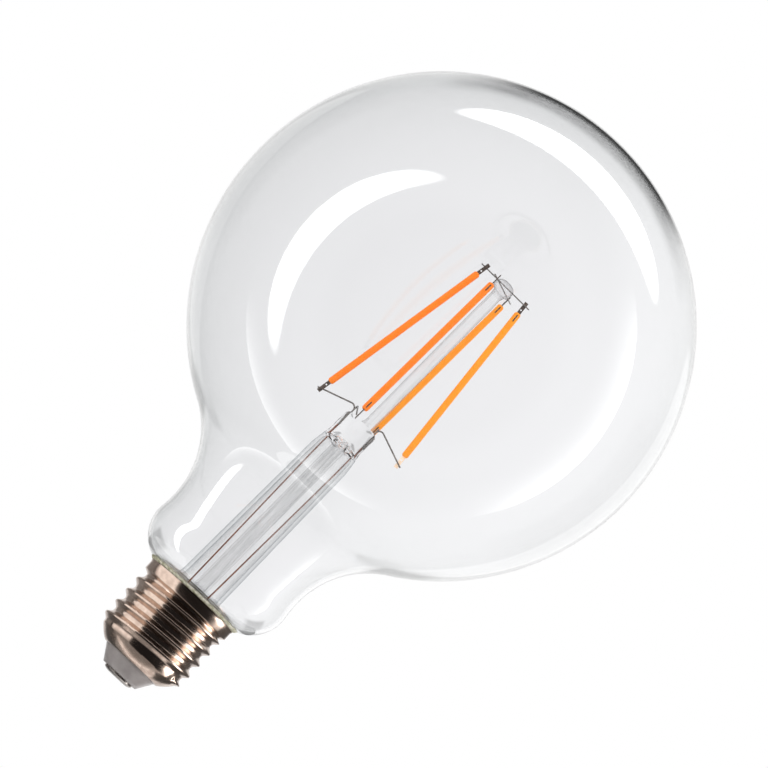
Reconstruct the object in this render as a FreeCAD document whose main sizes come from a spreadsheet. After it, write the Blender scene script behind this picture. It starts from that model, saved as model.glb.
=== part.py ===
import FreeCAD, Part
import math
import os
import Sketcher
from FreeCAD import Placement, Rotation, Vector

# A clear glass globe bulb with four upright filaments and a screw cap.
# Millimetres, +Z up, origin at the middle of the flat on the bottom contact.

driving = {
    # glass envelope
    "globe_radius": 62.5,
    "globe_height": 116.75,
    "glass_wall": 0.8,
    "waist_radius": 20.0,
    "throat_arc": 24.3,
    "shoulder_arc": 10.0,
    "shoulder_height": 37.0,
    "neck_radius": 11.0,
    "neck_fillet": 1.6,
    "neck_end": 22.0,
    # rolled screw shell
    "sheet_wall": 0.3,
    "crest_radius": 12.9,
    "root_radius": 11.6,
    "thread_pitch": 3.629,
    "ridge_share": 0.96,
    "ridge_round": 0.35,
    "crest_share": 0.3,
    "thread_fade": 0.8,
    "thread_turn": 330.0,
    "collar_radius": 13.0,
    "collar_start": 24.3,
    "collar_end": 26.8,
    "collar_step": 0.9,
    "lip_radius": 13.2,
    "lip_depth": 0.5,
    "toe_height": 8.0,
    "toe_end": 5.0,
    "toe_edge": 8.35,
    "toe_arc": 12.0,
    "toe_bore": 7.8,
    # insulator and bottom contact
    "insulator_face": 5.15,
    "insulator_top": 7.6,
    "contact_radius": 4.2,
    "contact_flat": 2.6,
    "contact_rise": 0.5,
    "contact_depth": 1.0,
    "shank_radius": 1.5,
    "shank_top": 9.0,
    # cement between glass and shell
    "cement_bead": 13.1,
    # leaning stem with its flattened end
    "lean_angle": 1.8,
    "lean_height": 24.0,
    "stem_radius": 5.75,
    "stem_foot_radius": 6.3,
    "stem_wall": 0.9,
    "rim_height": 0.9,
    "rim_width": 1.6,
    "flare_top": 31.0,
    "pinch_start": 78.0,
    "pinch_top": 86.0,
    "pinch_width": 9.8,
    "pinch_depth": 4.0,
    "pinch_arc": 2.5,
    "horn_height": 0.8,
    "horn_radius": 0.9,
    # exhaust tube and its blow hole
    "exhaust_radius": 1.9,
    "exhaust_wall": 0.55,
    "exhaust_top": 80.0,
    "exhaust_bottom": 18.4,
    "blow_hole_radius": 1.0,
    "blow_hole_height": 82.4,
    # glass post with its pressed button
    "post_radius": 1.55,
    "post_offset": 1.4,
    "button_radius": 2.75,
    "button_above": 1.2,
    "button_below": 2.4,
    "button_round": 1.1,
    # wires
    "lead_radius": 0.2,
    "lead_spread": 3.9,
    "lead_foot": 3.0,
    "lead_bend": 1.2,
    "lead_crest": 1.5,
    "lead_joint": 81.5,
    "hook_radius": 0.16,
    "hook_reach": 8.15,
    "hook_height": 135.0,
    "hook_step": 0.9,
    # filaments
    "coat_radius": 0.87,
    "coat_round": 0.55,
    "core_width": 0.8,
    "core_depth": 0.35,
    "core_inset": 2.3,
    "tab_width": 1.0,
    "tab_depth": 0.2,
    "tab_hole_radius": 0.22,
    "tab_reach": 1.75,
    "tab_over": 1.0,
    "front_foot_turn": 11.5,
    "back_foot_turn": 17.0,
    "head_turn": 29.0,
    "foot_ring": 13.2,
    "foot_height": 85.0,
    "head_ring": 6.7,
    # driver inside the cap
    "board_radius": 10.9,
    "board_depth": 1.0,
    "board_top": 17.4,
    "capacitor_radius": 2.5,
    "capacitor_length": 6.5,
    "capacitor_place": 5.6,
    "rectifier_length": 4.8,
    "rectifier_width": 4.0,
    "rectifier_depth": 1.6,
    "rectifier_place": 5.5,
    "chip_length": 3.2,
    "chip_width": 2.6,
    "chip_depth": 1.3,
    "chip_place": 7.0,
    "resistor_radius": 1.2,
    "resistor_length": 4.6,
    "cap_wire_radius": 0.3,
    # how close the loose fits are
    "fit_clearance": 0.05,
    "sleeve_clearance": 0.2,
}

doc = FreeCAD.newDocument("GlobeBulb")
sheet = doc.addObject("Spreadsheet::Sheet", "Sizes")
for row, (name, size) in enumerate(driving.items(), 1):
    sheet.set(f"A{row}", name)
    sheet.set(f"B{row}", str(size))
    sheet.setAlias(f"B{row}", name)
doc.recompute()

# Sizes that follow from the driving ones, kept as live formulas.
derived = doc.addObject("App::VarSet", "Derived")


def derive(name, formula):
    derived.addProperty("App::PropertyFloat", name)
    derived.setExpression(name, formula)
    doc.recompute()


derive("throat_r", "Sizes.waist_radius + Sizes.throat_arc")
derive("throat_z", "Sizes.globe_height - sqrt((Sizes.globe_radius + Sizes.throat_arc)^2 - Derived.throat_r^2)")
derive("throat_rise", "Derived.throat_z - Sizes.shoulder_height")
derive("throat_gap", "Sizes.throat_arc + Sizes.shoulder_arc")
derive("shoulder_r", "Derived.throat_r - sqrt(Derived.throat_gap^2 - Derived.throat_rise^2)")
derive("fillet_r", "Sizes.neck_radius + Sizes.neck_fillet")
derive("fillet_gap", "Sizes.shoulder_arc + Sizes.neck_fillet")
derive("fillet_reach", "Derived.fillet_r - Derived.shoulder_r")
derive("fillet_z", "Sizes.shoulder_height - sqrt(Derived.fillet_gap^2 - Derived.fillet_reach^2)")
derive("bead_reach", "Sizes.cement_bead - Derived.shoulder_r")
derive("bead_arc", "Sizes.shoulder_arc + Sizes.fit_clearance")
derive("bead_top", "Sizes.shoulder_height - sqrt(Derived.bead_arc^2 - Derived.bead_reach^2)")
derive("thread_depth", "Sizes.crest_radius - Sizes.root_radius")
derive("ridge_half", "Sizes.thread_pitch * Sizes.ridge_share / 2")
derive("ridge_slope", "Derived.thread_depth / Derived.ridge_half")
derive("flank_angle", "(1 + Sizes.ridge_round) * atan(Derived.ridge_slope) / 1 deg")
derive("flank_sine", "sin(Derived.flank_angle)")
derive("flank_cosine", "cos(Derived.flank_angle)")
derive("round_share", "Derived.ridge_half * Derived.flank_sine - Derived.thread_depth * Derived.flank_cosine")
derive("ridge_rounds", "Derived.round_share / (1 - Derived.flank_cosine)")
derive("crest_round", "Derived.ridge_rounds * Sizes.crest_share")
derive("root_round", "Derived.ridge_rounds - Derived.crest_round")
derive("shell_bore", "Sizes.root_radius - Sizes.sheet_wall")
derive("collar_bore", "Sizes.collar_radius - Sizes.sheet_wall")
derive("board_bottom", "Sizes.board_top - Sizes.board_depth")
derive("barrel_top", "Sizes.collar_start - Sizes.collar_step")
derive("toe_seat", "Sizes.toe_end + Sizes.sheet_wall")
derive("contact_slope", "Sizes.contact_radius - Sizes.contact_flat")
derive("contact_arc", "(Derived.contact_slope^2 + Sizes.contact_rise^2) / (2 * Sizes.contact_rise)")
derive("cavity_top", "Sizes.pinch_start - Sizes.stem_radius")
derive("flare_bottom", "Sizes.neck_end - Sizes.rim_height / 2")
derive("flare_edge", "Sizes.neck_radius - Sizes.glass_wall - Sizes.fit_clearance - Sizes.rim_height / 2")
derive("flare_reach", "Derived.flare_edge - Sizes.stem_foot_radius")
derive("flare_rise", "Sizes.flare_top - Derived.flare_bottom")
derive("flare_arc", "(Derived.flare_reach^2 + Derived.flare_rise^2) / (2 * Derived.flare_reach)")
derive("flare_span", "sqrt((Derived.flare_arc + Sizes.stem_wall)^2 - Derived.flare_rise^2)")
derive("flare_inside", "Sizes.stem_foot_radius + Derived.flare_arc - Derived.flare_span")
derive("branch_step", "2 * Sizes.lead_radius + Sizes.fit_clearance")
derive("shell_wire_place", "Sizes.board_radius - 3 * Sizes.cap_wire_radius")
derive("button_top", "Sizes.hook_height + Sizes.button_above")
derive("button_bottom", "Sizes.hook_height - Sizes.button_below")
derive("coat_length", "Sizes.hook_height - Sizes.hook_step - Sizes.foot_height - 2 * Sizes.tab_reach")
derive("core_length", "Derived.coat_length - 2 * Sizes.core_inset")
derive("channel_slack", "2 * Sizes.fit_clearance")


def value(formula):
    return float(sheet.evalExpression(formula))


def size(name):
    return value(f"Sizes.{name}")


def originFeature(body, role):
    return [feature for feature in body.Origin.OriginFeatures if feature.Role == role][0]


def arcBetween(start, end, radius, turn):
    # the shorter arc, anticlockwise for turn 1 and clockwise for turn -1
    half = (end - start) * 0.5
    rise = math.sqrt(max(radius ** 2 - half.Length ** 2, 0))
    left = Vector(-half.y, half.x, 0).normalize()
    middle = start + half + left * turn * (rise - radius)
    return Part.Arc(start, middle, end)


def outlineSketch(body, name, plane, corners):
    # corners are (x, y) formulas, or (x, y, arc radius, turn) where an arc leads on to the next one
    sketch = body.newObject("Sketcher::SketchObject", name)
    sketch.AttachmentSupport = (originFeature(body, plane), [""])
    sketch.MapMode = "FlatFace"
    points = [Vector(value(corner[0]), value(corner[1]), 0) for corner in corners]
    ends = points[1:] + points[:1]
    tips = []
    for corner, start, end in zip(corners, points, ends):
        if len(corner) == 2:
            sketch.addGeometry(Part.LineSegment(start, end), False)
            tips.append((1, 2))
        else:
            sketch.addGeometry(arcBetween(start, end, value(corner[2]), corner[3]), False)
            tips.append((1, 2) if corner[3] > 0 else (2, 1))
    for side, corner in enumerate(corners):
        after = (side + 1) % len(corners)
        sketch.addConstraint(Sketcher.Constraint("Coincident", side, tips[side][1], after, tips[after][0]))
        for kind, formula, place in (("DistanceX", corner[0], points[side].x), ("DistanceY", corner[1], points[side].y)):
            number = sketch.addConstraint(Sketcher.Constraint(kind, -1, 1, side, tips[side][0], place))
            sketch.setExpression(f"Constraints[{number}]", formula)
        if len(corner) == 4:
            number = sketch.addConstraint(Sketcher.Constraint("Radius", side, value(corner[2])))
            sketch.setExpression(f"Constraints[{number}]", corner[2])
    doc.recompute()
    return sketch


def turned(name, corners, kind="PartDesign::Revolution", body=None):
    # a body turned round Z from an outline in the XZ plane
    body = body or doc.addObject("PartDesign::Body", name)
    sketch = outlineSketch(body, f"{name}_outline", "XZ_Plane", corners)
    feature = body.newObject(kind, f"{name}_turn")
    feature.Profile = sketch
    feature.ReferenceAxis = (sketch, ["V_Axis"])
    feature.Angle = 360
    doc.recompute()
    return body


def cylinder(name, radius, height, place):
    # place is the (x, y, z) of the middle of the lower end
    solid = doc.addObject("Part::Cylinder", name)
    solid.setExpression("Radius", radius)
    solid.setExpression("Height", height)
    for axis, formula in zip("xyz", place):
        solid.setExpression(f"Placement.Base.{axis}", formula)
    return solid


def box(name, length, width, height, place):
    # place is the (x, y, z) of the middle of the lower face
    solid = doc.addObject("Part::Box", name)
    solid.setExpression("Length", length)
    solid.setExpression("Width", width)
    solid.setExpression("Height", height)
    solid.setExpression("Placement.Base.x", f"{place[0]} - ({length}) / 2")
    solid.setExpression("Placement.Base.y", f"{place[1]} - ({width}) / 2")
    solid.setExpression("Placement.Base.z", place[2])
    return solid


def joined(name, pieces):
    whole = doc.addObject("Part::MultiFuse", name)
    whole.Shapes = pieces
    return whole


def cut(name, base, tools):
    tool = tools[0] if len(tools) == 1 else joined(f"{name}_tools", tools)
    result = doc.addObject("Part::Cut", name)
    result.Base = base
    result.Tool = tool
    doc.recompute()
    return result


def between(first, second, share):
    # formulas of the point that lies a share of the way from first to second
    return tuple(f"{a} + ({b} - {a}) * ({share})" for a, b in zip(first, second))


def bentPath(points, radius):
    # straight runs joined by tangent arcs
    edges = []
    start = points[0]
    for before, corner, after in zip(points, points[1:], points[2:]):
        arriving = (corner - before).normalize()
        leaving = (after - corner).normalize()
        turn = arriving.getAngle(leaving)
        trim = radius * math.tan(turn / 2)
        bisector = (leaving - arriving).normalize()
        centre = corner + bisector * (radius / math.cos(turn / 2))
        entry = corner - arriving * trim
        leave = corner + leaving * trim
        edges.append(Part.LineSegment(start, entry).toShape())
        edges.append(Part.Arc(entry, centre - bisector * radius, leave).toShape())
        start = leave
    edges.append(Part.LineSegment(start, points[-1]).toShape())
    return Part.Wire(edges)


def wire(name, points, radius, bend):
    # round wire bent in space, so its section is swept along a path of its own
    path = bentPath(points, bend)
    direction = (points[1] - points[0]).normalize()
    section = Part.Wire(Part.Circle(points[0], direction, radius).toShape())
    feature = doc.addObject("Part::Feature", name)
    feature.Shape = path.makePipeShell([section], True, True)
    return feature


parts = []


def put(solid, place):
    # a turned place is set as a whole, in front of the one that the piece was made in
    doc.recompute()
    made = solid.Placement
    for axis in "xyz":
        solid.setExpression(f"Placement.Base.{axis}", None)
    solid.Placement = place.multiply(made)


def finish(solid, name, place=None):
    solid.Label = name
    if place:
        put(solid, place)
    parts.append(solid)
    return solid


def leaning():
    # the whole mount leans about a point in the glass seal
    pivot = Vector(0, 0, size("lean_height"))
    return Placement(Vector(), Rotation(Vector(0, 1, 0), size("lean_angle")), pivot)


def envelopeOutline(inset):
    globe = ("0", "Sizes.globe_height")
    throat = ("Derived.throat_r", "Derived.throat_z")
    shoulder = ("Derived.shoulder_r", "Sizes.shoulder_height")
    fillet = ("Derived.fillet_r", "Derived.fillet_z")
    neck = f"Sizes.neck_radius - {inset}"
    shoulderArc = f"Sizes.shoulder_arc - {inset}"
    globeArc = f"Sizes.globe_radius - {inset}"
    low = between(shoulder, fillet, f"({shoulderArc}) / Derived.fillet_gap")
    waist = between(shoulder, throat, f"({shoulderArc}) / Derived.throat_gap")
    high = between(globe, throat, f"({globeArc}) / (Sizes.globe_radius + Sizes.throat_arc)")
    return [
        (neck, "Sizes.neck_end"),
        (neck, "Derived.fillet_z", f"Sizes.neck_fillet + {inset}", -1),
        (*low, shoulderArc, 1),
        (*waist, f"Sizes.throat_arc + {inset}", -1),
        (*high, globeArc, 1),
        ("0", f"Sizes.globe_height + {globeArc}"),
    ]


def glassEnvelope():
    outside = turned("envelope_outside", envelopeOutline("0") + [("0", "Sizes.neck_end")])
    inside = turned("envelope_inside", envelopeOutline("Sizes.glass_wall") + [("0", "Sizes.neck_end")])
    finish(cut("glass_envelope", outside, [inside]), "glass_envelope")


def threadForm(name, inset):
    # the threaded barrel as a solid: once for the outside of the sheet and once for its inside
    root = f"Sizes.root_radius - {inset}"
    crest = f"Sizes.crest_radius - {inset}"
    outer = "Sizes.crest_radius + Sizes.thread_pitch"
    half = "Derived.ridge_half"
    foot = f"{root} - Sizes.sheet_wall"
    flankLow = f"{root} + Derived.root_round * (1 - Derived.flank_cosine)"
    flankHigh = f"{crest} - Derived.crest_round * (1 - Derived.flank_cosine)"
    rootReach = "Derived.root_round * Derived.flank_sine"
    crestReach = "Derived.crest_round * Derived.flank_sine"
    low = "Sizes.toe_height"
    high = "Derived.barrel_top"
    below = f"{low} - Sizes.thread_pitch"
    above = f"{high} + Sizes.thread_pitch"
    body = turned(name, [("0", low), (root, low), (root, high), ("0", high)])
    sketch = outlineSketch(body, f"{name}_ridge", "XZ_Plane", [
        (foot, f"{low} - {half}"),
        (root, f"{low} - {half}", "Derived.root_round", -1),
        (flankLow, f"{low} - {half} + {rootReach}"),
        (flankHigh, f"{low} - {crestReach}", "Derived.crest_round", 1),
        (flankHigh, f"{low} + {crestReach}"),
        (flankLow, f"{low} + {half} - {rootReach}", "Derived.root_round", -1),
        (root, f"{low} + {half}"),
        (foot, f"{low} + {half}"),
    ])
    thread = body.newObject("PartDesign::AdditiveHelix", f"{name}_thread")
    thread.Profile = sketch
    thread.ReferenceAxis = (sketch, ["V_Axis"])
    thread.Mode = 0
    thread.setExpression("Pitch", "Sizes.thread_pitch")
    thread.setExpression("Height", f"{high} - {low}")
    thread.LeftHanded = False
    doc.recompute()
    # the ridge fades out at both ends, where the rolling tool leaves the sheet
    turned(f"{name}_low_fade", [
        ("0", low),
        ("0", below),
        (outer, below),
        (outer, f"{low} + Sizes.thread_fade"),
        (crest, f"{low} + Sizes.thread_fade"),
        (root, low),
    ], "PartDesign::Groove", body)
    turned(f"{name}_high_fade", [
        ("0", high),
        (root, high),
        (crest, f"{high} - Sizes.thread_fade"),
        (outer, f"{high} - Sizes.thread_fade"),
        (outer, above),
        ("0", above),
    ], "PartDesign::Groove", body)
    return body


def capShell():
    # rolled from one sheet: knuckle thread outside, the same thread inside
    barrel = cut("shell_barrel", threadForm("shell_outside", "0"), [threadForm("shell_inside", "Sizes.sheet_wall")])
    barrel.setExpression("Placement.Rotation.Angle", "Sizes.thread_turn")
    collar = turned("shell_collar", [
        ("Derived.shell_bore", "Derived.barrel_top"),
        ("Sizes.root_radius", "Derived.barrel_top"),
        ("Sizes.collar_radius", "Sizes.collar_start"),
        ("Sizes.collar_radius", "Sizes.collar_end - Sizes.lip_depth"),
        ("Sizes.lip_radius", "Sizes.collar_end"),
        ("Sizes.lip_radius - Sizes.sheet_wall", "Sizes.collar_end"),
        ("Derived.collar_bore", "Sizes.collar_end - Sizes.lip_depth"),
        ("Derived.collar_bore", "Sizes.collar_start"),
    ])
    toe = turned("shell_toe", [
        ("Sizes.toe_bore", "Sizes.toe_end"),
        ("Sizes.toe_edge", "Sizes.toe_end", "Sizes.toe_arc", 1),
        ("Sizes.root_radius", "Sizes.toe_height"),
        ("Derived.shell_bore", "Sizes.toe_height", "Sizes.toe_arc - Sizes.sheet_wall", -1),
        ("Sizes.toe_edge", "Derived.toe_seat"),
        ("Sizes.toe_bore", "Derived.toe_seat"),
    ])
    finish(joined("cap_shell", [barrel, collar, toe]), "cap_shell")


def capInsulator():
    # moulded through the hole in the shell, so its waist holds the turned-in edge
    bore = "Sizes.shank_radius + Sizes.fit_clearance"
    waist = "Sizes.toe_bore - Sizes.fit_clearance"
    body = turned("cap_insulator", [
        (bore, "Sizes.contact_depth"),
        ("Sizes.insulator_face", "Sizes.contact_depth"),
        (waist, "Sizes.toe_end"),
        (waist, "Derived.toe_seat"),
        ("Sizes.toe_edge", "Derived.toe_seat"),
        ("Sizes.toe_edge", "Sizes.insulator_top"),
        (bore, "Sizes.insulator_top"),
    ])
    finish(body, "cap_insulator")


def centreContact():
    # domed disc with a hollow shank that grips the wire from the driver
    bore = "Sizes.cap_wire_radius + Sizes.fit_clearance"
    body = turned("centre_contact", [
        ("0", "0"),
        ("Sizes.contact_flat", "0", "Derived.contact_arc", 1),
        ("Sizes.contact_radius", "Sizes.contact_rise"),
        ("Sizes.contact_radius", "Sizes.contact_depth"),
        ("Sizes.shank_radius", "Sizes.contact_depth"),
        ("Sizes.shank_radius", "Sizes.shank_top"),
        (bore, "Sizes.shank_top"),
        (bore, "Sizes.contact_depth"),
        ("0", "Sizes.contact_depth"),
    ])
    finish(body, "centre_contact")


def cementRing():
    # fills the gap between glass neck and collar and stands a little out of it
    inside = "Sizes.neck_radius + Sizes.fit_clearance"
    outside = "Derived.collar_bore - Sizes.fit_clearance"
    # the bead follows the glass up from the neck and out under the shoulder
    shoulder = ("Derived.shoulder_r", "Sizes.shoulder_height")
    fillet = ("Derived.fillet_r", "Derived.fillet_z")
    seam = between(shoulder, fillet, "Derived.bead_arc / Derived.fillet_gap")
    body = turned("cement_ring", [
        (inside, "Sizes.collar_start"),
        (outside, "Sizes.collar_start"),
        (outside, "Sizes.collar_end - Sizes.lip_depth"),
        ("Sizes.lip_radius - Sizes.sheet_wall - Sizes.fit_clearance", "Sizes.collar_end"),
        ("Sizes.cement_bead", "Sizes.collar_end"),
        ("Sizes.cement_bead", "Derived.bead_top", "Derived.bead_arc", -1),
        (*seam, "Sizes.neck_fillet - Sizes.fit_clearance", 1),
        (inside, "Derived.fillet_z"),
    ])
    finish(body, "cement_ring")


def pressCut(body, name, plane, half, side):
    # one face of the pinch, with the round foot that the press jaw leaves
    foot = "Sizes.pinch_start"
    over = "Sizes.pinch_top + Sizes.stem_radius"
    away = f"{side} * 2 * Sizes.stem_radius"
    face = f"{side} * {half}"
    sketch = outlineSketch(body, name, plane, [
        (face, f"{foot} + Sizes.pinch_arc"),
        (face, over),
        (away, over),
        (away, foot),
        (f"{side} * ({half} + Sizes.pinch_arc)", foot, "Sizes.pinch_arc", -side),
    ])
    pocket = body.newObject("PartDesign::Pocket", f"{name}_cut")
    pocket.Profile = sketch
    pocket.Midplane = True
    pocket.setExpression("Length", "6 * Sizes.stem_radius")
    doc.recompute()


def stemFlare():
    # glass tube flared to the neck at its foot and pressed flat round the wires at its top
    edge = "Derived.flare_edge"
    way = "Sizes.exhaust_radius - Sizes.exhaust_wall"
    seat = "Sizes.exhaust_radius + Sizes.fit_clearance"
    bottom = "Derived.flare_bottom"
    foot = "Sizes.stem_foot_radius"
    stem = turned("stem_tube", [
        (edge, bottom, "Derived.flare_arc", -1),
        (foot, "Sizes.flare_top"),
        ("Sizes.stem_radius", "Sizes.pinch_start"),
        ("Sizes.stem_radius", "Sizes.pinch_top"),
        ("0", "Sizes.pinch_top"),
        ("0", "Sizes.blow_hole_height"),
        (way, "Sizes.blow_hole_height"),
        (way, "Sizes.exhaust_top"),
        (seat, "Sizes.exhaust_top"),
        (seat, "Sizes.pinch_start - Sizes.stem_wall"),
        ("Sizes.stem_radius - Sizes.stem_wall", "Derived.cavity_top"),
        (f"{foot} - Sizes.stem_wall", "Sizes.flare_top", "Derived.flare_arc + Sizes.stem_wall", 1),
        ("Derived.flare_inside", bottom),
    ])
    for side in (1, -1):
        pressCut(stem, f"press_front_{side + 1}", "YZ_Plane", "Sizes.pinch_depth / 2", side)
        pressCut(stem, f"press_side_{side + 1}", "XZ_Plane", "Sizes.pinch_width / 2", side)
    horns = []
    holes = []
    for side, word in ((-1, "left"), (1, "right")):
        horn = doc.addObject("Part::Cone", f"horn_{word}")
        horn.setExpression("Radius1", "Sizes.horn_radius")
        horn.setExpression("Radius2", "Sizes.lead_radius + 2 * Sizes.fit_clearance")
        horn.setExpression("Height", "Sizes.horn_height")
        horn.setExpression("Placement.Base.x", f"{side} * Sizes.lead_spread")
        horn.setExpression("Placement.Base.z", "Sizes.pinch_top")
        horns.append(horn)
        for place, mark, low in (("0", "lead", "Derived.cavity_top"),
                                 (f"{side} * Derived.branch_step", "branch", "Sizes.lead_joint")):
            holes.append(cylinder(f"{mark}_hole_{word}", "Sizes.lead_radius + Sizes.fit_clearance",
                                  f"Sizes.pinch_top + Sizes.horn_height + Sizes.stem_wall - {low}",
                                  (f"{side} * Sizes.lead_spread", place, low)))
    blowHole = cylinder("blow_hole", "Sizes.blow_hole_radius", "Sizes.stem_radius", ("0", "0", "0"))
    put(blowHole, Placement(Vector(0, 0, size("blow_hole_height")), Rotation(Vector(1, 0, 0), 90)))
    holes.append(blowHole)
    pressed = cut("stem_pressed", joined("stem_horned", [stem] + horns), holes)
    pressed.Placement = leaning()
    rim = turned("stem_rim", [
        ("Sizes.neck_radius - Sizes.rim_width", "Sizes.neck_end - Sizes.rim_height"),
        ("Sizes.neck_radius", "Sizes.neck_end - Sizes.rim_height"),
        ("Sizes.neck_radius", "Sizes.neck_end"),
        ("Sizes.neck_radius - Sizes.rim_width", "Sizes.neck_end"),
    ])
    finish(joined("stem_flare", [pressed, rim]), "stem_flare")


def exhaustTube():
    # drawn off and closed with a round tip inside the cap
    inner = "Sizes.exhaust_radius - Sizes.exhaust_wall"
    body = turned("exhaust_tube", [
        ("0", "Sizes.exhaust_bottom", "Sizes.exhaust_radius", 1),
        ("Sizes.exhaust_radius", "Sizes.exhaust_bottom + Sizes.exhaust_radius"),
        ("Sizes.exhaust_radius", "Sizes.exhaust_top"),
        (inner, "Sizes.exhaust_top"),
        (inner, "Sizes.exhaust_bottom + Sizes.exhaust_radius", inner, -1),
        ("0", "Sizes.exhaust_bottom + Sizes.exhaust_wall"),
    ])
    finish(body, "exhaust_tube", leaning())


def supportPost():
    # glass rod with its end melted into a button round the hook wires
    body = turned("post_rod", [
        ("0", "Sizes.pinch_top"),
        ("Sizes.post_radius", "Sizes.pinch_top"),
        ("Sizes.post_radius", "Derived.button_bottom"),
        ("Sizes.button_radius - Sizes.button_round", "Derived.button_bottom", "Sizes.button_round", 1),
        ("Sizes.button_radius", "Derived.button_bottom + Sizes.button_round"),
        ("Sizes.button_radius", "Derived.button_top - Sizes.button_round", "Sizes.button_round", 1),
        ("Sizes.button_radius - Sizes.button_round", "Derived.button_top"),
        ("0", "Derived.button_top"),
    ])
    holes = []
    for word, angle, height in hooks():
        holes.append(hookRod(f"hook_hole_{word}", "Sizes.hook_radius + Sizes.fit_clearance", angle, height))
    post = cut("support_post", body, holes)
    finish(post, "support_post", leaning().multiply(Placement(Vector(size("post_offset"), 0, 0), Rotation())))


def hooks():
    return (("side", 0, size("hook_height")), ("front", -90 - size("head_turn"), size("hook_height") - size("hook_step")))


def hookRod(name, radius, angle, height):
    # straight rod across the button, about the post's own line
    rod = doc.addObject("Part::Cylinder", name)
    rod.setExpression("Radius", radius)
    rod.setExpression("Height", "2 * Sizes.hook_reach")
    along = outward(angle)
    rod.Placement = Placement(along * -size("hook_reach") + Vector(0, 0, height), Rotation(Vector(0, 0, 1), along))
    return rod


def crossWires():
    place = leaning().multiply(Placement(Vector(size("post_offset"), 0, 0), Rotation()))
    for word, angle, height in hooks():
        finish(hookRod(f"cross_wire_{word}", "Sizes.hook_radius", angle, height), f"cross_wire_{word}", place)


def outward(angle):
    return Vector(math.cos(math.radians(angle)), math.sin(math.radians(angle)), 0)


def filamentEnds(word):
    # lower and upper weld of a filament in the frame of the mount
    sideLow = {"left": 180, "right": 0, "front": -90 - size("front_foot_turn"), "back": 90 - size("back_foot_turn")}
    sideHigh = {"left": 180, "right": 0, "front": -90 - size("head_turn"), "back": 90 - size("head_turn")}
    low = sideLow[word]
    high = sideHigh[word]
    drop = size("hook_step") if word in ("front", "back") else 0
    foot = outward(low) * size("foot_ring") + Vector(0, 0, size("foot_height"))
    head = Vector(size("post_offset"), 0, size("hook_height") - drop) + outward(high) * size("head_ring")
    return foot, head, outward(high)


def wireCorner(side, word):
    # where a lead or branch wire leaves the glass and turns towards its filament
    step = value("Derived.branch_step") * side if word in ("front", "back") else 0
    crest = size("pinch_top") + size("horn_height") + size("lead_crest")
    return Vector(side * size("lead_spread"), step, crest)


def leadWires():
    lean = leaning()
    radius = size("lead_radius")
    bend = size("lead_bend")
    joint = size("lead_joint")
    for side, word, other in ((-1, "left", "front"), (1, "right", "back")):
        top = lean.multVec(Vector(side * size("lead_spread"), 0, joint))
        seal = lean.multVec(Vector(side * size("lead_spread"), 0, value("Derived.cavity_top")))
        run = [Vector(side * size("lead_foot"), 0, value("Derived.board_bottom")),
               Vector(side * size("lead_foot"), 0, size("lean_height")), seal, top]
        finish(wire(f"outer_lead_{word}", run, radius, bend), f"outer_lead_{word}")
        for target, label in ((word, f"inner_lead_{word}"), (other, f"branch_wire_{other}")):
            corner = wireCorner(side, target)
            start = Vector(corner.x, corner.y, joint)
            weld = filamentEnds(target)[0]
            along = (weld - corner).normalize()
            run = [start, corner, weld + along * size("tab_over")]
            finish(wire(label, run, radius, bend), label, lean)


def filaments():
    # coat, core strip and two tabs, each about the middle of its filament
    lean = leaning()
    for side, word in ((-1, "left"), (-1, "front"), (1, "back"), (1, "right")):
        foot, head, hookOut = filamentEnds(word)
        upward = (head - foot).normalize()
        # the tab lies flat on the lead at its foot and nearly so on the hook wire
        leadOut = (foot - wireCorner(side, word)).normalize()
        sideways = upward.cross(leadOut * 2 + hookOut).normalize()
        aside = sideways * (size("lead_radius") + size("tab_depth") / 2 + size("sleeve_clearance"))
        turn = Rotation(sideways.cross(upward), sideways, upward, "ZXY")
        place = lean.multiply(Placement((foot + head) * 0.5 + aside, turn))
        half = "Derived.coat_length / 2"
        inner = "Sizes.coat_radius - Sizes.coat_round"
        rod = turned(f"coat_{word}", [
            ("0", f"-{half}"),
            (inner, f"-{half}", "Sizes.coat_round", 1),
            ("Sizes.coat_radius", f"Sizes.coat_round - {half}"),
            ("Sizes.coat_radius", f"{half} - Sizes.coat_round", "Sizes.coat_round", 1),
            (inner, half),
            ("0", half),
        ])
        channel = box(f"channel_{word}", f"Sizes.tab_width + Derived.channel_slack", f"Sizes.core_depth + Derived.channel_slack",
                      "Derived.coat_length", ("0", "0", f"-{half}"))
        finish(cut(f"filament_{word}", rod, [channel]), f"filament_{word}", place)
        core = box(f"filament_core_{word}", "Sizes.core_width", "Sizes.core_depth", "Derived.core_length",
                   ("0", "0", "-Derived.core_length / 2"))
        finish(core, f"filament_core_{word}", place)
        reach = (head - foot).Length / 2 + size("tab_over")
        for end, label in ((1, f"upper_tab_{word}"), (-1, f"lower_tab_{word}")):
            length = f"{reach} - Derived.core_length / 2"
            lower = "Derived.core_length / 2" if end > 0 else f"{-reach}"
            strip = box(f"{label}_strip", "Sizes.tab_width", "Sizes.tab_depth", length, ("0", "0", lower))
            eye = cylinder(f"{label}_eye", "Sizes.tab_hole_radius", "2 * Sizes.tab_width", ("0", "0", "0"))
            height = end * (value("Derived.coat_length") / 2 + size("tab_width"))
            put(eye, Placement(Vector(0, size("tab_width"), height), Rotation(Vector(1, 0, 0), 90)))
            finish(cut(label, strip, [eye]), label, place)


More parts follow.
